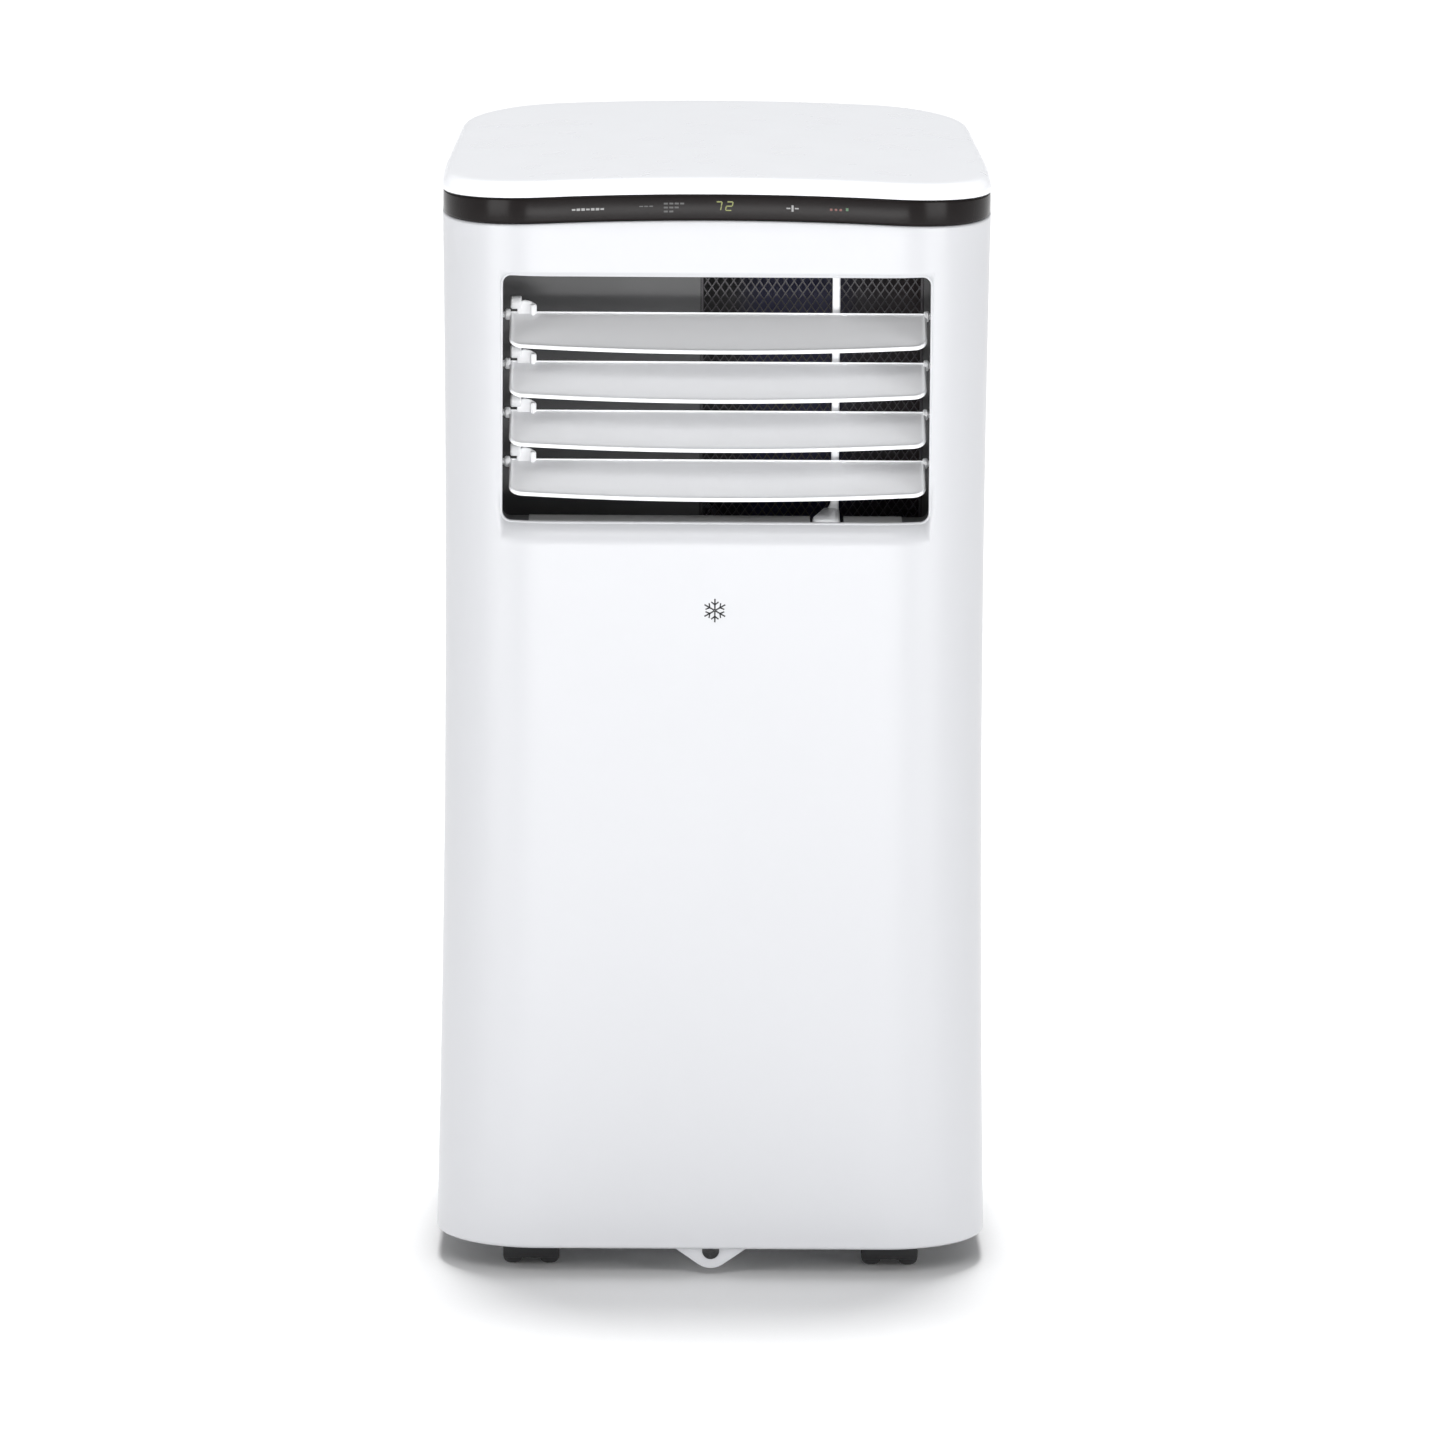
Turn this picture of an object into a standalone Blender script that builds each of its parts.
"""Portable air conditioner: a free-standing floor unit on four casters.

All sizes below are in millimetres and are turned into metres when a mesh is
made.  +Z is up, the front (louvre side) faces -Y and the floor is z = 0.
"""

import math

import bmesh
import bpy
from mathutils import Matrix, Vector

MM = 0.001

# ---------------------------------------------------------------- casing sizes
HALF_DEPTH = 172.5
HALF_WIDTH_FOOT = 176.0
HALF_WIDTH_TOP = 174.0
WAIST = 3.6
FRONT_RADIUS = 65.0
REAR_RADIUS = 65.0
TAPER = 0.053
TAPER_FROM = -60.0
WALL = 2.5
PANEL_FOOT = 18.5
SEAM_TOP = 700.0
LID_RISE = 10.0
CROWN = 6.5
CASE_SEAM_Y = 60.0
GAP = 0.3

# ------------------------------------------------------------- control bezel
BAND_FRONT = 16.5
BAND_CORNER = 13.0
BAND_END = 3.0
BAND_RECESS = 0.6

# ------------------------------------------------------------------- louvres
OPENING_HALF = 134.8
OPENING_LOW = 490.7
OPENING_HIGH = 647.3
RETURN_Y = -148.5
BLADES = 4
PITCH = 31.5
PIVOT_Y = -132.5
PIVOT_TOP = 616.6
BLADE_LEFT = -130.8
BLADE_RIGHT = 133.0
CHORD = 37.0
BOW = 5.6
TILT = math.radians(25.0)
ROD_ARM = (10.0, -3.0)
ROD_X = (73.5, 78.5)

# ------------------------------------------------------------- running gear
CASTER_OFFSET = 13.0
WHEEL_RADIUS = 20.0
SCREW_Z = 16.5
BASE_LOW = 50.0
BASE_HIGH = 54.0
FRONT_CASTER = (115.0, -118.0)
REAR_CASTER = (110.0, 112.0)
FAN_VANES = 16

# ------------------------------------------------------------------ rear side
EXHAUST = (20.0, 310.0)
EXHAUST_RADIUS = 65.0
FILTER_BOX = (-92.0, 92.0, 405.0, 640.0)
LOWER_BOX = (-60.0, 92.0, 64.0, 206.0)
DRAIN_X = -78.0

# ---------------------------------------------------------------- materials
PALETTE = {
    "white_plastic": ((0.86, 0.87, 0.87), 0.38, 0.0),
    "lid_plastic": ((0.90, 0.91, 0.91), 0.35, 0.0),
    "black_gloss": ((0.012, 0.012, 0.014), 0.10, 0.0),
    "duct_plastic": ((0.055, 0.056, 0.06), 0.55, 0.0),
    "guard_plastic": ((0.02, 0.02, 0.024), 0.5, 0.0),
    "blade_plastic": ((0.88, 0.89, 0.89), 0.33, 0.0),
    "circuit_board": ((0.03, 0.16, 0.07), 0.4, 0.0),
    "grey_plastic": ((0.62, 0.63, 0.64), 0.45, 0.0),
    "foam_white": ((0.82, 0.82, 0.80), 0.8, 0.0),
    "impeller_plastic": ((0.10, 0.11, 0.12), 0.5, 0.0),
    "motor_steel": ((0.42, 0.43, 0.45), 0.4, 0.9),
    "coil_blue": ((0.10, 0.25, 0.45), 0.4, 0.6),
    "coil_aluminium": ((0.62, 0.63, 0.65), 0.35, 0.9),
    "compressor_black": ((0.015, 0.015, 0.016), 0.35, 0.1),
    "copper": ((0.72, 0.36, 0.20), 0.3, 0.95),
    "zinc_steel": ((0.55, 0.56, 0.57), 0.4, 0.9),
    "filter_net": ((0.10, 0.10, 0.11), 0.7, 0.0),
    "caster_black": ((0.02, 0.02, 0.021), 0.45, 0.0),
    "rubber_black": ((0.018, 0.018, 0.018), 0.75, 0.0),
    "screw_dark": ((0.10, 0.10, 0.105), 0.35, 0.8),
}
MATERIALS = {}


def clear_scene():
    """Remove whatever the scene holds before building."""
    for item in list(bpy.data.objects):
        bpy.data.objects.remove(item, do_unlink=True)


def material(slot):
    """Return the material of a palette slot, made on first use."""
    if slot not in MATERIALS:
        colour, rough, metal = PALETTE[slot]
        made = bpy.data.materials.new(slot)
        made.use_nodes = True
        shader = made.node_tree.nodes["Principled BSDF"]
        shader.inputs["Base Color"].default_value = (*colour, 1.0)
        shader.inputs["Roughness"].default_value = rough
        shader.inputs["Metallic"].default_value = metal
        made.diffuse_color = (*colour, 1.0)
        MATERIALS[slot] = made
    return MATERIALS[slot]


# ------------------------------------------------------------ mesh builders
def finish_mesh(bm, name, slot, origin, smooth):
    """Turn a bmesh in millimetres into a named object in metres."""
    bmesh.ops.remove_doubles(bm, verts=bm.verts, dist=0.0005)
    bmesh.ops.recalc_face_normals(bm, faces=bm.faces)
    shift = Matrix.Translation(Vector(origin) * -1.0)
    bmesh.ops.transform(bm, matrix=Matrix.Scale(MM, 4) @ shift, verts=bm.verts)
    for face in bm.faces:
        face.smooth = smooth
    for edge in bm.edges:
        if len(edge.link_faces) == 2:
            edge.smooth = edge.calc_face_angle(0.0) < math.radians(32.0)
    mesh = bpy.data.meshes.new(name)
    bm.to_mesh(mesh)
    bm.free()
    item = bpy.data.objects.new(name, mesh)
    item.location = Vector(origin) * MM
    bpy.context.scene.collection.objects.link(item)
    if slot:
        mesh.materials.append(material(slot))
    return item


def build(name, slot, shapes, origin=(0.0, 0.0, 0.0), smooth=True):
    """Build one object from a list of (vertices, faces) shapes."""
    bm = bmesh.new()
    for verts, faces in shapes:
        made = [bm.verts.new(v) for v in verts]
        for face in faces:
            bm.faces.new([made[i] for i in face])
    return finish_mesh(bm, name, slot, origin, smooth)


def box(x0, x1, y0, y1, z0, z1):
    """An axis-aligned block."""
    verts = [(x, y, z) for x in (x0, x1) for y in (y0, y1) for z in (z0, z1)]
    faces = [(0, 1, 3, 2), (4, 6, 7, 5), (0, 4, 5, 1), (2, 3, 7, 6), (0, 2, 6, 4), (1, 5, 7, 3)]
    return verts, faces


def prism(outline, axis, low, high):
    """A prism of a 2-D outline along X, Y or Z."""
    place = {
        "X": lambda u, v, w: (w, u, v),
        "Y": lambda u, v, w: (u, w, v),
        "Z": lambda u, v, w: (u, v, w),
    }[axis]
    count = len(outline)
    verts = [place(u, v, low) for u, v in outline] + [place(u, v, high) for u, v in outline]
    faces = [tuple(range(count)), tuple(range(count, 2 * count))]
    for i in range(count):
        j = (i + 1) % count
        faces.append((i, j, j + count, i + count))
    return verts, faces


def circle(cu, cv, radius, count, start=0.0):
    """A regular outline round a centre."""
    step = 2.0 * math.pi / count
    return [(cu + radius * math.cos(start + i * step), cv + radius * math.sin(start + i * step))
            for i in range(count)]


def rod(axis, cu, cv, radius, low, high, count=16):
    """A round bar along X, Y or Z."""
    return prism(circle(cu, cv, radius, count), axis, low, high)


def rounded_box(u0, u1, v0, v1, radius, steps=4):
    """A rectangle outline with rounded corners."""
    out = []
    corners = ((u1 - radius, v0 + radius, -90), (u1 - radius, v1 - radius, 0),
               (u0 + radius, v1 - radius, 90), (u0 + radius, v0 + radius, 180))
    for cu, cv, first in corners:
        for k in range(steps + 1):
            a = math.radians(first + 90.0 * k / steps)
            out.append((cu + radius * math.cos(a), cv + radius * math.sin(a)))
    return out


def lathe(axis, centre, profile, count=24):
    """A body of revolution: profile points are (radius, distance along axis)."""
    verts = []
    rings = []
    for radius, along in profile:
        ring = []
        points = 1 if radius < 1e-6 else count
        for i in range(points):
            a = 2.0 * math.pi * i / count
            u = centre[0] + radius * math.cos(a)
            v = centre[1] + radius * math.sin(a)
            spot = {"X": (along, u, v), "Y": (u, along, v), "Z": (u, v, along)}[axis]
            ring.append(len(verts))
            verts.append(spot)
        rings.append(ring)
    faces = []
    for a_ring, b_ring in zip(rings, rings[1:]):
        for i in range(count):
            j = (i + 1) % count
            quad = [a_ring[i % len(a_ring)], a_ring[j % len(a_ring)],
                    b_ring[j % len(b_ring)], b_ring[i % len(b_ring)]]
            face = [v for n, v in enumerate(quad) if v not in quad[:n]]
            if len(face) > 2:
                faces.append(tuple(face))
    return verts, faces


def pipe(points, radius, count=7):
    """A bent tube swept along a smoothed path."""
    path = [Vector(p) for p in points]
    for blunt in (0.22, 0.3):
        eased = [path[0]]
        for a, b in zip(path, path[1:]):
            eased.append(a.lerp(b, blunt))
            eased.append(a.lerp(b, 1.0 - blunt))
        path = eased + [path[-1]]
    verts = []
    faces = []
    side = None
    for n, spot in enumerate(path):
        ahead = path[min(n + 1, len(path) - 1)] - path[max(n - 1, 0)]
        ahead.normalize()
        if side is None:
            side = ahead.orthogonal().normalized()
        side = (side - ahead * side.dot(ahead)).normalized()
        up = ahead.cross(side)
        for i in range(count):
            a = 2.0 * math.pi * i / count
            verts.append(spot + side * (radius * math.cos(a)) + up * (radius * math.sin(a)))
    for n in range(len(path) - 1):
        for i in range(count):
            j = (i + 1) % count
            k = n * count
            faces.append((k + i, k + j, k + count + j, k + count + i))
    faces.append(tuple(range(count)))
    faces.append(tuple(range(len(verts) - count, len(verts))))
    return verts, faces


def offset_outline(points, inset):
    """Move an anticlockwise outline inwards by a set distance."""
    out = []
    count = len(points)
    for i in range(count):
        a = Vector(points[i - 1])
        b = Vector(points[i])
        c = Vector(points[(i + 1) % count])
        before = (b - a).normalized()
        after = (c - b).normalized()
        n1 = Vector((-before.y, before.x))
        n2 = Vector((-after.y, after.x))
        mid = n1 + n2
        scale = 2.0 / max(mid.dot(mid), 0.5)
        out.append(tuple(b + mid * (inset * scale)))
    return out


def caster_spots():
    """Name and swivel axis of each caster."""
    fx, fy = FRONT_CASTER
    rx, ry = REAR_CASTER
    return (("front_left", -fx, fy), ("front_right", fx, fy),
            ("rear_left", -rx, ry), ("rear_right", rx, ry))


def helper(name, shapes):
    """A hidden solid used only to cut or join."""
    item = build(name, None, shapes)
    item.hide_render = True
    item.display_type = "WIRE"
    return item


def boolean(target, other, operation):
    """Join or cut with the exact solver."""
    made = target.modifiers.new(operation.title() + " " + other.name, "BOOLEAN")
    made.operation = operation
    made.solver = "EXACT"
    made.object = other
    return made


def cut(target, shapes):
    """Take the shapes away from the target."""
    boolean(target, helper("cut_" + target.name + "_" + str(len(target.modifiers)), shapes), "DIFFERENCE")


def join(target, shapes):
    """Add the shapes to the target, as one body."""
    boolean(target, helper("join_" + target.name + "_" + str(len(target.modifiers)), shapes), "UNION")


# ------------------------------------------------------------- casing outline
def half_width(z):
    """Half width of the casing: wider at the foot, slightly waisted."""
    t = min(max((z - PANEL_FOOT) / (SEAM_TOP - PANEL_FOOT), 0.0), 1.0)
    return HALF_WIDTH_FOOT + (HALF_WIDTH_TOP - HALF_WIDTH_FOOT) * t - WAIST * 4.0 * t * (1.0 - t)


def crown(x):
    """Drop of the top seam away from the centre line."""
    return CROWN * (x / HALF_WIDTH_TOP) ** 2


def band_height(y):
    """Height of the dark bezel: full at the front, thin at the end of the sides."""
    corner = -HALF_DEPTH + FRONT_RADIUS
    if y <= corner:
        t = (y + HALF_DEPTH) / FRONT_RADIUS
        return BAND_FRONT + (BAND_CORNER - BAND_FRONT) * t * t
    t = (y - corner) / (CASE_SEAM_Y - corner)
    return BAND_CORNER + (BAND_END - BAND_CORNER) * t


def narrowed(x, y):
    """The casing's sides draw in towards the back, easing in over 60 mm."""
    past = y - TAPER_FROM
    if past <= -30.0:
        inset = 0.0
    elif past < 30.0:
        inset = TAPER * (past + 30.0) ** 2 / 120.0
    else:
        inset = TAPER * past
    return x * (1.0 - inset / HALF_WIDTH_TOP)


def u_path(half, inset, radius, seam_y, rear):
    """Open outline of half the casing, from one side seam round to the other."""
    w = half - inset
    d = HALF_DEPTH - inset
    r = radius - inset
    side_end = -(HALF_DEPTH - radius)
    first = -seam_y if rear else seam_y
    left = [(-w, first + (side_end - first) * k / 3.0) for k in range(3)]
    turn = []
    for k in range(7):
        a = math.radians(180.0 + 15.0 * k)
        turn.append((-w + r + r * math.cos(a), -d + r + r * math.sin(a)))
    flat = [(-(w - r) + 2.0 * (w - r) * k / 6.0, -d) for k in range(1, 6)]
    path = left + turn + flat
    path += [(-x, y) for x, y in reversed(turn)] + [(-x, y) for x, y in reversed(left)]
    if rear:
        path = [(x, -y) for x, y in path]
    return [(narrowed(x, y), y) for x, y in path]


def full_path(half, inset):
    """Closed outline of the whole casing, anticlockwise."""
    front = u_path(half, inset, FRONT_RADIUS, 0.0, False)
    rear = u_path(half, inset, REAR_RADIUS, 0.0, True)
    return front + list(reversed(rear))[1:-1]


def strip_shell(levels):
    """A closed shell from levels of matching outer and inner open paths."""
    count = len(levels[0][0])
    verts = []
    for outer, inner in levels:
        verts += list(outer) + list(inner)

    def at(level, inner, i):
        return level * 2 * count + (count if inner else 0) + i

    faces = []
    last = len(levels) - 1
    for k in range(last):
        for i in range(count - 1):
            faces.append((at(k, 0, i), at(k, 0, i + 1), at(k + 1, 0, i + 1), at(k + 1, 0, i)))
            faces.append((at(k, 1, i), at(k + 1, 1, i), at(k + 1, 1, i + 1), at(k, 1, i + 1)))
        for i in (0, count - 1):
            faces.append((at(k, 0, i), at(k + 1, 0, i), at(k + 1, 1, i), at(k, 1, i)))
    for k in (0, last):
        for i in range(count - 1):
            faces.append((at(k, 0, i), at(k, 1, i), at(k, 1, i + 1), at(k, 0, i + 1)))
    return verts, faces


def casing_half(rear, top_of):
    """Levels of the front or rear casing half from foot to top seam."""
    radius = REAR_RADIUS if rear else FRONT_RADIUS
    seam = CASE_SEAM_Y + GAP if rear else CASE_SEAM_Y
    levels = []
    rows = [(PANEL_FOOT, 1.0), (PANEL_FOOT + 1.0, 0.2)]
    rows += [(PANEL_FOOT + 1.0 + (SEAM_TOP - 30.0 - PANEL_FOOT - 1.0) * k / 5.0, 0.0) for k in range(1, 6)]
    for z, inset in rows:
        half = half_width(z)
        outer = [(x, y, z) for x, y in u_path(half, inset, radius, seam, rear)]
        inner = [(x, y, z) for x, y in u_path(half, WALL, radius, seam, rear)]
        levels.append((outer, inner))
    for drop, inset in ((1.0, 0.0), (0.0, 0.7)):
        half = half_width(SEAM_TOP - 20.0)
        outer = []
        inner = []
        for x, y in u_path(half, inset, radius, seam, rear):
            outer.append((x, y, top_of(x, y) - drop))
        for x, y in u_path(half, WALL, radius, seam, rear):
            inner.append((x, y, top_of(x, y) - drop))
        levels.append((outer, inner))
    return strip_shell(levels)


# -------------------------------------------------------------------- casing
def build_casing():
    """Panels, top cover, control strip, hand cups and base."""
    def front_top(x, y):
        return SEAM_TOP - crown(x) - band_height(y) - 0.15

    def rear_top(x, y):
        return SEAM_TOP - crown(x) - 0.15

    front = build("front_panel", "white_plastic", [casing_half(False, front_top)])
    tongue = [(-22.3, 33.0), (-22.3, PANEL_FOOT), (-4.6, 5.8), (0.0, 4.5), (4.6, 5.8), (22.3, PANEL_FOOT),
              (22.3, 33.0)]
    join(front, [prism(tongue, "Y", -167.0, -164.0)])
    join(front, [box(-21.0, 21.0, -170.9, -165.5, 27.0, 31.0)])
    hole = rounded_box(-OPENING_HALF, OPENING_HALF, OPENING_LOW, OPENING_HIGH, 5.5)
    cut(front, [prism(hole, "Y", -190.0, -140.0)])
    cut(front, [rod("Y", 0.0, SCREW_Z, 2.6, -169.0, -160.0, 12)])
    cut(front, [box(-200.0, 200.0, -45.4, 45.4, 571.6, 610.4)])

    rear = build("rear_panel", "white_plastic", [casing_half(True, rear_top)])
    x0, x1, z0, z1 = FILTER_BOX
    cut(rear, [prism(rounded_box(x0, x1, z0, z1, 6.0, 3), "Y", 150.0, 190.0)])
    x0, x1, z0, z1 = LOWER_BOX
    cut(rear, [prism(rounded_box(x0, x1, z0, z1, 6.0, 3), "Y", 150.0, 190.0)])
    holes = [rod("Y", EXHAUST[0], EXHAUST[1], EXHAUST_RADIUS + GAP, 150.0, 190.0, 32)]
    holes += [rod("Y", DRAIN_X, z, 7.3, 150.0, 190.0) for z in (72.0, 392.0)]
    holes += [rod("Y", DRAIN_X, 128.0, 9.3, 150.0, 190.0)]
    holes += [rod("Y", x, z, 2.3, 150.0, 190.0, 10) for x in (-88.0, 88.0) for z in (34.0, 664.0)]
    cut(rear, holes)

    lid_levels = []
    edge = ((0.6, 0.0), (0.0, 1.2), (0.0, 3.2), (1.4, 6.8), (4.2, 9.0), (8.5, 10.0))
    half = HALF_WIDTH_TOP
    for inset, rise in edge:
        lid_levels.append([(x, y, SEAM_TOP - crown(x) + 0.15 + rise * (LID_RISE - 0.15) / 10.0)
                           for x, y in full_path(half, inset)])
    for scale in (0.72, 0.4):
        lid_levels.append([(x * scale, y * scale, SEAM_TOP + LID_RISE - crown(x * scale))
                           for x, y in full_path(half, 8.5)])
    inner = [[(x, y, SEAM_TOP - crown(x) + 0.15) for x, y in full_path(half, 3.0)]]
    inner.append([(x, y, SEAM_TOP + 5.5 - crown(x)) for x, y in full_path(half, 6.0)])
    for scale in (0.72, 0.4):
        inner.append([(x * scale, y * scale, SEAM_TOP + 7.0 - crown(x * scale))
                      for x, y in full_path(half, 8.5)])
    rings = list(reversed(inner)) + lid_levels
    count = len(rings[0])
    verts = [v for ring in rings for v in ring]
    faces = []
    for k in range(len(rings) - 1):
        for i in range(count):
            j = (i + 1) % count
            faces.append((k * count + i, k * count + j, (k + 1) * count + j, (k + 1) * count + i))
    verts.append((0.0, 0.0, SEAM_TOP + 7.0))
    verts.append((0.0, 0.0, SEAM_TOP + LID_RISE))
    low, high = len(verts) - 2, len(verts) - 1
    top = (len(rings) - 1) * count
    for i in range(count):
        j = (i + 1) % count
        faces.append((low, j, i))
        faces.append((high, top + i, top + j))
    build("top_cover", "lid_plastic", [(verts, faces)])

    levels = []
    for end, inset in ((0.0, BAND_RECESS), (1.0, BAND_RECESS)):
        outer = []
        inner = []
        for skin, group in ((inset, outer), (inset + 2.0, inner)):
            for x, y in u_path(HALF_WIDTH_TOP, skin, FRONT_RADIUS, CASE_SEAM_Y - 0.4, False):
                high = SEAM_TOP - crown(x) - 0.15
                low = SEAM_TOP - crown(x) - band_height(y) + 0.15
                group.append((x, y, low + (high - low) * end))
        levels.append((outer, inner))
    build("control_bezel", "black_gloss", [strip_shell(levels)])
    board = build("control_board", "circuit_board", [box(-108.0, 108.0, -168.6, -167.0, 664.0, 694.5)])
    join(board, [box(x - 4.0, x + 4.0, -167.5, -161.0, 668.0, 676.0) for x in (-80.0, -30.0, 20.0, 70.0)])

    for side, name in ((-1.0, "handle_cup_left"), (1.0, "handle_cup_right")):
        low, high = sorted((side * 148.0, side * 166.0))
        cup = build(name, "grey_plastic", [box(low, high, -45.0, 45.0, 572.0, 610.0)])
        low, high = sorted((side * 150.0, side * 180.0))
        cut(cup, [box(low, high, -43.0, 43.0, 574.0, 608.0)])

    foot = half_width(PANEL_FOOT)
    tray = []
    for inset, z in ((11.5, BASE_LOW), (11.5, 19.0), (9.0, 19.0), (9.0, BASE_LOW), (6.3, BASE_LOW),
                     (6.3, BASE_HIGH)):
        tray.append([(x, y, z) for x, y in full_path(foot, inset)])
    count = len(tray[0])
    verts = [v for ring in tray for v in ring]
    faces = [tuple(range(count)), tuple(range(5 * count, 6 * count))]
    for k in range(5):
        for i in range(count):
            j = (i + 1) % count
            faces.append((k * count + i, k * count + j, (k + 1) * count + j, (k + 1) * count + i))
    base = build("base_pan", "white_plastic", [(verts, faces)])
    join(base, [box(-8.0, 8.0, -163.2, -160.6, 10.0, 30.0)])
    holes = [rod("Z", cx, cy, 4.3, 40.0, 60.0) for _, cx, cy in caster_spots()]
    holes.append(rod("Y", 0.0, SCREW_Z, 2.3, -166.0, -158.0, 12))
    cut(base, holes)
    screw = [(0.0, -169.4), (3.2, -169.4), (5.0, -168.4), (5.0, -167.3), (2.0, -167.3), (2.0, -160.0),
             (0.0, -160.0)]
    build("lug_screw", "screw_dark", [lathe("Y", (0.0, SCREW_Z), screw, 16)])


# ------------------------------------------------------------ air outlet side
def blade_shape(tilt):
    """The bowed, rounded blade and the section it is swept with."""
    run = (-math.cos(tilt), -math.sin(tilt))
    rise = (-math.sin(tilt), math.cos(tilt))
    width = BLADE_RIGHT - BLADE_LEFT
    spots = [0.0, 1.2, 3.4, 7.0, 12.0, 60.0, width / 2.0]
    spots = spots + [width - s for s in reversed(spots[:-1])]
    nip = {0.0: 9.0, 1.2: 5.4, 3.4: 2.6, 7.0: 0.7}
    verts = []
    for s in spots:
        x = BLADE_LEFT + s
        u = 2.0 * s / width - 1.0
        reach = CHORD + BOW * (1.0 - u * u) - nip.get(min(s, width - s), 0.0)
        for along, up in ((-1.5, -1.0), (-1.5, 1.0), (reach * 0.5, 1.5), (reach - 0.8, 1.1), (reach, 0.0),
                          (reach - 0.8, -1.0)):
            verts.append((x, run[0] * along + rise[0] * up, run[1] * along + rise[1] * up))
    ring = 6
    faces = [tuple(range(ring)), tuple(range(len(verts) - ring, len(verts)))]
    for k in range(len(spots) - 1):
        for i in range(ring):
            j = (i + 1) % ring
            faces.append((k * ring + i, k * ring + j, (k + 1) * ring + j, (k + 1) * ring + i))
    return verts, faces


def moved(shape, dy, dz):
    """The same shape, shifted in depth and height."""
    verts, faces = shape
    return [(x, y + dy, z + dz) for x, y, z in verts], faces


def build_outlet():
    """Louvre blades, their pull rod, the duct behind them and its guard."""
    for n in range(BLADES):
        z = PIVOT_TOP - PITCH * n
        spot = (0.0, PIVOT_Y, z)
        leaf = moved(blade_shape(TILT), PIVOT_Y, z)
        blade = build("louvre_blade_" + str(n + 1), "blade_plastic", [leaf], spot)
        join(blade, [moved(rod("X", 0.0, 0.0, 2.0, -141.2, BLADE_LEFT + 6.0, 12), PIVOT_Y, z),
                     moved(rod("X", 0.0, 0.0, 2.0, BLADE_RIGHT - 6.0, 141.2, 12), PIVOT_Y, z)])
        ear = [(-1.6, -0.6), (1.2, -0.6), (2.6, 9.0), (0.4, 9.6)]
        join(blade, [moved(prism(ear, "X", -124.6, -114.0), PIVOT_Y, z)])
        join(blade, [moved(rod("X", 0.9, 7.6, 4.2, -130.2, -123.4, 14), PIVOT_Y, z)])
        arm = [(-1.0, -1.6), (8.6, -5.4), (11.6, -5.2), (12.6, -3.0), (11.6, -1.0), (8.6, -0.7), (-1.0, 0.8)]
        join(blade, [moved(prism(arm, "X", 80.2, 82.6), PIVOT_Y, z)])
        join(blade, [moved(rod("X", ROD_ARM[0], ROD_ARM[1], 1.4, 71.8, 81.4, 12), PIVOT_Y, z)])

    y_rod = PIVOT_Y + ROD_ARM[0]
    z_rod = PIVOT_TOP + ROD_ARM[1]
    low = 484.3
    link = build("louvre_pull_rod", "blade_plastic",
                 [box(ROD_X[0], ROD_X[1], y_rod - 2.4, y_rod + 2.4, low + 0.2, 641.0)], (0.0, y_rod, z_rod))
    join(link, [box(62.0, 78.8, -165.0, y_rod + 2.0, low, low + 4.9)])
    cut(link, [rod("X", y_rod, z_rod - PITCH * n, 1.75, 70.0, 80.1, 12) for n in range(BLADES)])

    duct = build("outlet_duct", "duct_plastic", [box(-142.0, 142.0, -157.0, -95.0, 467.5, 654.5)])
    cut(duct, [box(-139.5, 139.5, RETURN_Y, -97.5, 470.0, 652.0)])
    throat = [(138.3, -152.0), (138.3, -160.8), (130.0, -164.6), (120.0, -167.8), (107.0, -169.6)]
    throat = throat + [(-x, y) for x, y in reversed(throat)]
    join(duct, [prism(throat, "Z", OPENING_LOW - 2.5, OPENING_HIGH + 2.8)])
    mouth = rounded_box(-OPENING_HALF - 0.3, OPENING_HALF + 0.3, OPENING_LOW - 0.3, OPENING_HIGH + 0.3, 5.8)
    cut(duct, [prism(mouth, "Y", -180.0, RETURN_Y + 2.0)])
    cut(duct, [box(60.0, 81.0, -180.0, -146.0, 472.0, 500.0)])
    cut(duct, [prism(rounded_box(-10.0, 132.0, 476.0, 646.0, 6.0, 3), "Y", -110.0, -80.0)])
    cut(duct, [rod("X", PIVOT_Y, PIVOT_TOP - PITCH * n, 2.4, -150.0, 150.0, 12) for n in range(BLADES)])

    guard = build("outlet_guard", "guard_plastic",
                  [prism(rounded_box(-9.6, 131.6, 476.4, 645.6, 5.8, 3), "Y", -97.2, -95.6)])
    cells = []
    step_x = 26.0
    step_z = 38.0
    for row in range(7):
        for col in range(5 - row % 2):
            cx = 9.0 + (col + 0.5 * (row % 2)) * step_x
            cz = 504.0 + row * step_z / 2.0
            hx = step_x / 2.0 - 1.6
            hz = step_z / 2.0 - 2.3
            diamond = [(cx - hx, cz), (cx, cz - hz), (cx + hx, cz), (cx, cz + hz)]
            cells.append(prism(diamond, "Y", -110.0, -80.0))
    cut(guard, cells)

    z_motor = PIVOT_TOP - PITCH
    build("louvre_motor", "grey_plastic",
          [lathe("X", (PIVOT_Y, z_motor), [(0.0, -155.0), (12.0, -155.0), (13.0, -154.0), (13.0, -143.5),
                                           (5.0, -143.5), (5.0, -142.3), (0.0, -142.3)], 20)])


# ------------------------------------------------------- fans, coils, circuit
def scroll_outline(centre, first, rise, after):
    """A widening fan scroll that runs into a rising air duct."""
    out = []
    steps = 16
    for k in range(steps + 1):
        a = math.radians(first + (360.0 - first) * k / steps)
        radius = rise[0] + (rise[1] - rise[0]) * k / steps
        out.append((centre[0] + radius * math.cos(a), centre[1] + radius * math.sin(a)))
    return out + after


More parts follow.
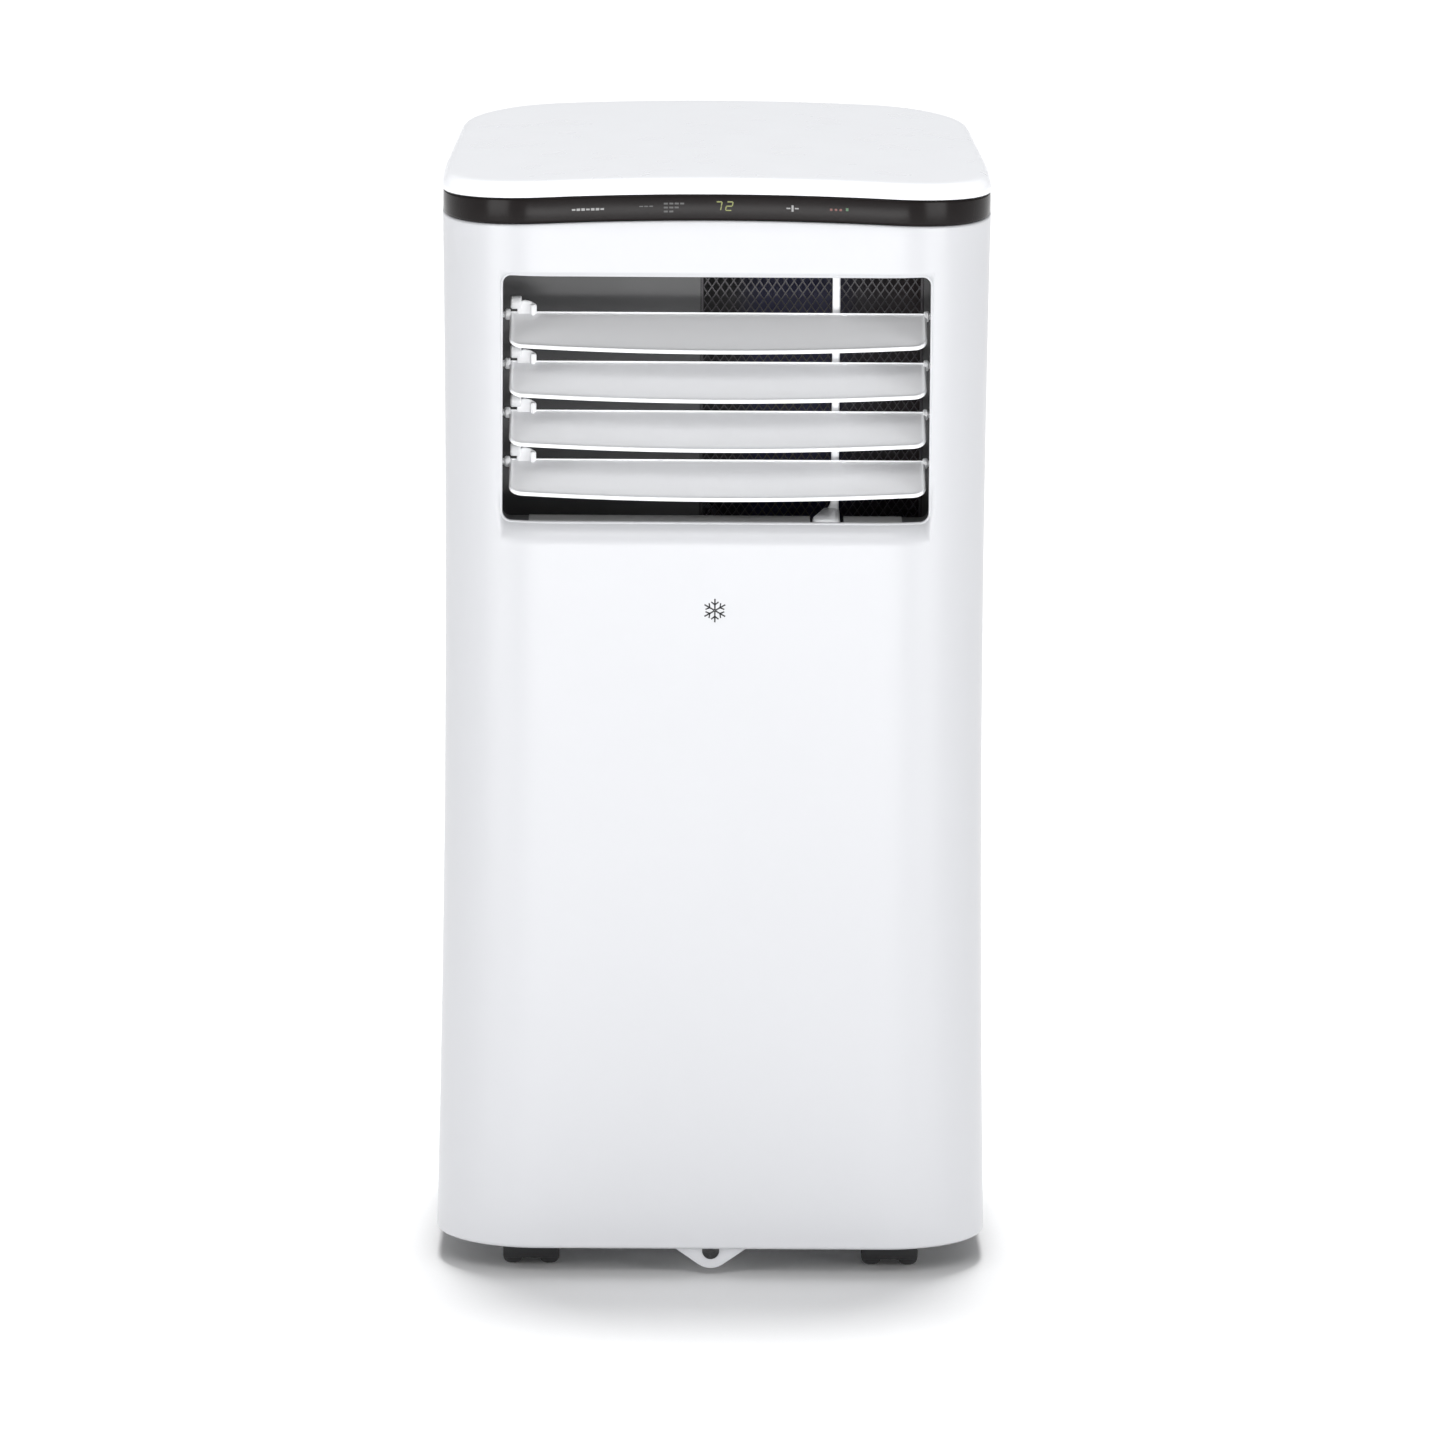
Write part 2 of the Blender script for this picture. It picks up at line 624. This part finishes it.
def blower(tag, slot, centre, outline, y0, y1, inlet_rear, window, wheel_radius, motor_depth):
    """Housing, wheel and motor of one centrifugal fan, its axis along Y."""
    housing = build(tag + "_blower_housing", slot, [prism(outline, "Y", y0, y1)])
    cut(housing, [prism(offset_outline(outline, WALL), "Y", y0 + WALL, y1 - WALL)])
    inlet = y1 if inlet_rear else y0
    motor = y0 if inlet_rear else y1
    away = -1.0 if inlet_rear else 1.0
    cut(housing, [rod("Y", centre[0], centre[1], wheel_radius - 8.0, inlet - 10.0, inlet + 10.0, 32)])
    cut(housing, [rod("Y", centre[0], centre[1], 7.0, motor - 6.0, motor + 6.0, 16)])
    cut(housing, [window])

    w0 = y0 + 6.0
    w1 = y1 - 6.0
    disc = w0 if inlet_rear else w1
    back = (w0, w0 + 2.4) if inlet_rear else (w1 - 2.4, w1)
    ring = (w1 - 3.0, w1) if inlet_rear else (w0, w0 + 3.0)
    inner = wheel_radius - 11.0
    cx, cz = centre
    spot = (cx, (y0 + y1) / 2.0, cz)
    wheel = build(tag + "_blower_wheel", "impeller_plastic",
                  [lathe("Y", centre, [(0.0, back[0]), (wheel_radius, back[0]), (wheel_radius, back[1]),
                                       (0.0, back[1])], 32)], spot)
    vanes = []
    for k in range(FAN_VANES):
        a = 2.0 * math.pi * k / FAN_VANES
        turn = Matrix.Rotation(a, 2)
        shape = [(inner, -0.9), (wheel_radius - 1.2, 3.0), (wheel_radius - 1.2, 4.6), (inner, 0.9)]
        spots = [turn @ Vector(p) for p in shape]
        vanes.append(prism([(cx + p.x, cz + p.y) for p in spots], "Y", w0 + 1.2, w1 - 1.2))
    join(wheel, vanes)
    rim = prism(circle(cx, cz, wheel_radius, 32), "Y", ring[0], ring[1])
    rim_tool = helper("rim_" + wheel.name, [rim])
    cut(rim_tool, [rod("Y", cx, cz, inner - 0.8, ring[0] - 3.0, ring[1] + 3.0, 32)])
    boolean(wheel, rim_tool, "UNION")
    stub = sorted((disc - away * 14.0, motor))
    join(wheel, [rod("Y", cx, cz, 5.0, stub[0], stub[1], 16)])

    face = motor + away * 0.3
    far = face + away * motor_depth
    can = [(0.0, face), (16.0, face), (16.0, face + away * 5.0), (33.0, face + away * 8.0),
           (34.0, face + away * 12.0), (34.0, far - away * 5.0), (30.0, far), (0.0, far)]
    build(tag + "_fan_motor", "motor_steel", [lathe("Y", centre, can, 24)])


def comb(x0, x1, y0, y1, z0, z1, grooves, depth):
    """A finned block: grooves cut into both broad faces, drawn as one outline."""
    pitch = (x1 - x0) / (2 * grooves + 1)
    front = []
    for k in range(grooves):
        a = x0 + pitch * (2 * k + 1)
        front += [(a, y0), (a, y0 + depth), (a + pitch, y0 + depth), (a + pitch, y0)]
    back = [(x, y1 - (y - y0)) for x, y in reversed(front)]
    outline = [(x0, y0)] + front + [(x1, y0), (x1, y1)] + back + [(x0, y1)]
    return prism(outline, "Z", z0, z1)


def build_inside():
    """Two fans, the coils, the compressor and the electrics."""
    upper = (-40.0, 432.0)
    riser = [(50.0, 446.0), (136.0, 474.0), (136.0, 652.0), (-14.0, 652.0), (-14.0, 512.0)]
    outline = scroll_outline(upper, 82.0, (66.0, 88.0), riser)
    window = box(-8.0, 130.0, -100.0, -88.0, 478.0, 644.0)
    blower("upper", "duct_plastic", upper, outline, -94.7, -20.0, True, window, 58.0, 50.0)

    lower = (55.0, 150.0)
    riser = [(146.0, 160.0), (146.0, 378.0), (-50.0, 378.0), (-50.0, 240.0)]
    outline = scroll_outline(lower, 130.0, (68.0, 88.0), riser)
    window = rod("Y", EXHAUST[0], EXHAUST[1], EXHAUST_RADIUS - 3.0, 90.0, 110.0, 32)
    blower("lower", "foam_white", lower, outline, 30.0, 100.0, True, window, 58.0, 48.0)

    profile = [(-156.0, 337.5), (18.0, 337.5), (18.0, 383.0), (150.0, 383.0), (150.0, 386.0), (15.0, 386.0),
               (15.0, 340.5), (-153.0, 340.5), (-153.0, 346.0), (-156.0, 346.0)]
    build("partition_tray", "foam_white", [prism(profile, "X", -138.0, 138.0)], smooth=False)
    cold = comb(-105.0, 105.0, 104.0, 146.0, 392.0, 642.0, 11, 8.0)
    build("evaporator_coil", "coil_blue", [cold], smooth=False)
    warm = comb(-66.0, 92.0, 114.0, 150.0, 60.0, 212.0, 9, 8.0)
    build("condenser_coil", "coil_aluminium", [warm], smooth=False)

    pot = [(0.0, 54.3), (56.0, 54.3), (56.0, 58.0), (48.0, 60.0), (50.0, 68.0), (50.0, 232.0), (45.0, 250.0),
           (30.0, 260.0), (0.0, 262.0)]
    build("compressor", "compressor_black", [lathe("Z", (-103.0, 8.0), pot, 28)])
    build("suction_pipe", "copper",
          [pipe([(-112.0, -8.0, 262.4), (-112.0, -8.0, 292.0), (-151.0, 8.0, 300.0), (-153.0, 60.0, 380.0),
                 (-140.0, 122.0, 470.0), (-134.0, 125.0, 520.0), (-105.3, 125.0, 520.0)], 5.0)])
    build("discharge_pipe", "copper",
          [pipe([(-103.0, 26.0, 262.9), (-103.0, 26.0, 284.0), (-98.0, 90.0, 286.0), (-92.0, 130.0, 240.0),
                 (-92.0, 132.0, 190.0), (-66.3, 132.0, 190.0)], 4.0)])
    build("electrical_box", "zinc_steel", [box(-155.0, -100.0, -136.0, -60.0, 60.0, 190.0)], smooth=False)
    tin = [(0.0, 54.3), (20.0, 54.3), (20.0, 120.0), (18.0, 122.0), (5.0, 122.0), (5.0, 130.0), (0.0, 130.0)]
    build("run_capacitor", "zinc_steel", [lathe("Z", (-70.0, -110.0), tin, 20)])


# ------------------------------------------------------------------ rear side
def grille(name, slot, limits, y0, y1, slats, origin):
    """A framed grille of level slats that fills its opening in the rear panel."""
    x0, x1, z0, z1 = limits
    outline = rounded_box(x0 + GAP, x1 - GAP, z0 + GAP, z1 - GAP, 5.7, 3)
    item = build(name, slot, [prism(outline, "Y", y0, y1)], origin)
    pitch = (z1 - z0 - 16.0) / slats
    cuts = []
    for k in range(slats):
        low = z0 + 8.0 + pitch * k
        for a, b in ((x0 + 8.0, (x0 + x1) / 2.0 - 2.0), ((x0 + x1) / 2.0 + 2.0, x1 - 8.0)):
            cuts.append(box(a, b, y0 - 5.0, y1 + 5.0, low + pitch * 0.2, low + pitch * 0.8))
    cut(item, cuts)
    return item


def build_rear():
    """Filter panel, lower grille, hose collar, drains, cord gland and screws."""
    x0, x1, z0, z1 = FILTER_BOX
    hinge = (0.0, HALF_DEPTH - 1.0, z0 + 4.0)
    grille("filter_grille", "white_plastic", FILTER_BOX, HALF_DEPTH - 4.5, HALF_DEPTH - 0.4, 10, hinge)
    net = [prism(rounded_box(x0 + 4.0, x1 - 4.0, z0 + 4.0, z1 - 4.0, 4.0, 3), "Y", HALF_DEPTH - 6.8,
                 HALF_DEPTH - 4.8)]
    screen = build("filter_screen", "filter_net", net, hinge)
    cells = []
    for row in range(4):
        for col in range(3):
            cx = x0 + 10.0 + col * 55.5
            cz = z0 + 10.0 + row * 54.4
            cells.append(box(cx, cx + 51.5, HALF_DEPTH - 12.0, HALF_DEPTH, cz, cz + 50.4))
    cut(screen, cells)
    grille("lower_grille", "white_plastic", LOWER_BOX, HALF_DEPTH - 4.5, HALF_DEPTH - 0.4, 7,
           (0.0, 0.0, 0.0))

    cx, cz = EXHAUST
    r = EXHAUST_RADIUS
    collar = [(r - 4.0, 100.3), (r, 100.3), (r, HALF_DEPTH - 0.5), (r - 1.0, HALF_DEPTH),
              (r - 2.5, HALF_DEPTH), (r - 2.5, 106.0), (r - 4.0, 106.0), (r - 4.0, 100.3)]
    build("exhaust_collar", "duct_plastic", [lathe("Y", EXHAUST, collar, 28)])
    guard = build("exhaust_guard", "guard_plastic", [rod("Y", cx, cz, r - 2.9, 106.3, 109.0, 32)])
    slots = []
    for k in range(5):
        z = cz - 44.0 + 22.0 * k
        reach = math.sqrt((r - 7.0) ** 2 - (abs(z - cz) + 8.0) ** 2)
        for a, b in ((cx - reach, cx - 2.0), (cx + 2.0, cx + reach)):
            slots.append(box(a, b, 100.0, 120.0, z - 8.0, z + 8.0))
    cut(guard, slots)

    for name, z in (("lower_drain_plug", 72.0), ("upper_drain_plug", 392.0)):
        plug = [(0.0, 154.0), (7.0, 154.0), (7.0, 170.2), (6.2, 171.6), (0.0, 171.6)]
        build(name, "rubber_black", [lathe("Y", (DRAIN_X, z), plug, 16)], (DRAIN_X, 165.0, z))
    gland = [(4.2, 166.0), (11.5, 166.0), (11.5, 169.7), (9.0, 169.7), (9.0, 172.2), (4.2, 172.2),
             (4.2, 166.0)]
    build("cord_gland", "rubber_black", [lathe("Y", (DRAIN_X, 128.0), gland, 16)])
    n = 0
    for z in (34.0, 664.0):
        for x in (-88.0, 88.0):
            n += 1
            stud = [(0.0, 166.0), (1.9, 166.0), (2.0, 170.6), (2.0, 172.0), (0.0, 172.0)]
            build("rear_screw_" + str(n), "screw_dark", [lathe("Y", (x, z), stud, 12)])


# -------------------------------------------------------------- running gear
def build_casters():
    """Twin-wheel swivel casters: a fork that turns in the base, wheels that roll in it."""
    for name, cx, cy in caster_spots():
        ay = cy - CASTER_OFFSET
        az = WHEEL_RADIUS
        web = [(cy - 22.0, 10.0), (cy - 6.0, 9.0), (cy + 1.0, 18.0), (cy + 9.0, 34.0), (cy + 9.0, 46.5),
               (cy - 12.0, 46.5), (cy - 25.0, 32.0), (cy - 26.0, 20.0)]
        fork = build("caster_fork_" + name, "caster_black", [prism(web, "X", cx - 5.4, cx + 5.4)],
                     (cx, cy, BASE_LOW))
        fender = []
        for radius, order in ((23.2, 1), (21.2, -1)):
            steps = [math.radians(20.0 + 25.0 * k) for k in range(8)][::order]
            fender += [(ay + radius * math.cos(a), az + radius * math.sin(a)) for a in steps]
        join(fork, [prism(fender, "X", cx - 18.0, cx + 18.0)])
        join(fork, [rod("Z", cx, cy, 9.0, 42.0, 49.7, 16)])
        join(fork, [rod("Z", cx, cy, 4.0, 46.0, 57.0, 16)])
        cut(fork, [rod("X", ay, az, 2.9, cx - 10.0, cx + 10.0, 16)])
        r = WHEEL_RADIUS
        half = [(0.0, -18.0), (18.6, -18.0), (r, -16.4), (r, -7.6), (18.6, -6.0), (2.4, -6.0)]
        full = half + [(a, -b) for a, b in reversed(half)]
        full = [(a, b + cx) for a, b in full]
        build("caster_wheels_" + name, "caster_black", [lathe("X", (ay, az), full, 20)], (cx, ay, az))


clear_scene()
build_casing()
build_outlet()
build_inside()
build_rear()
build_casters()
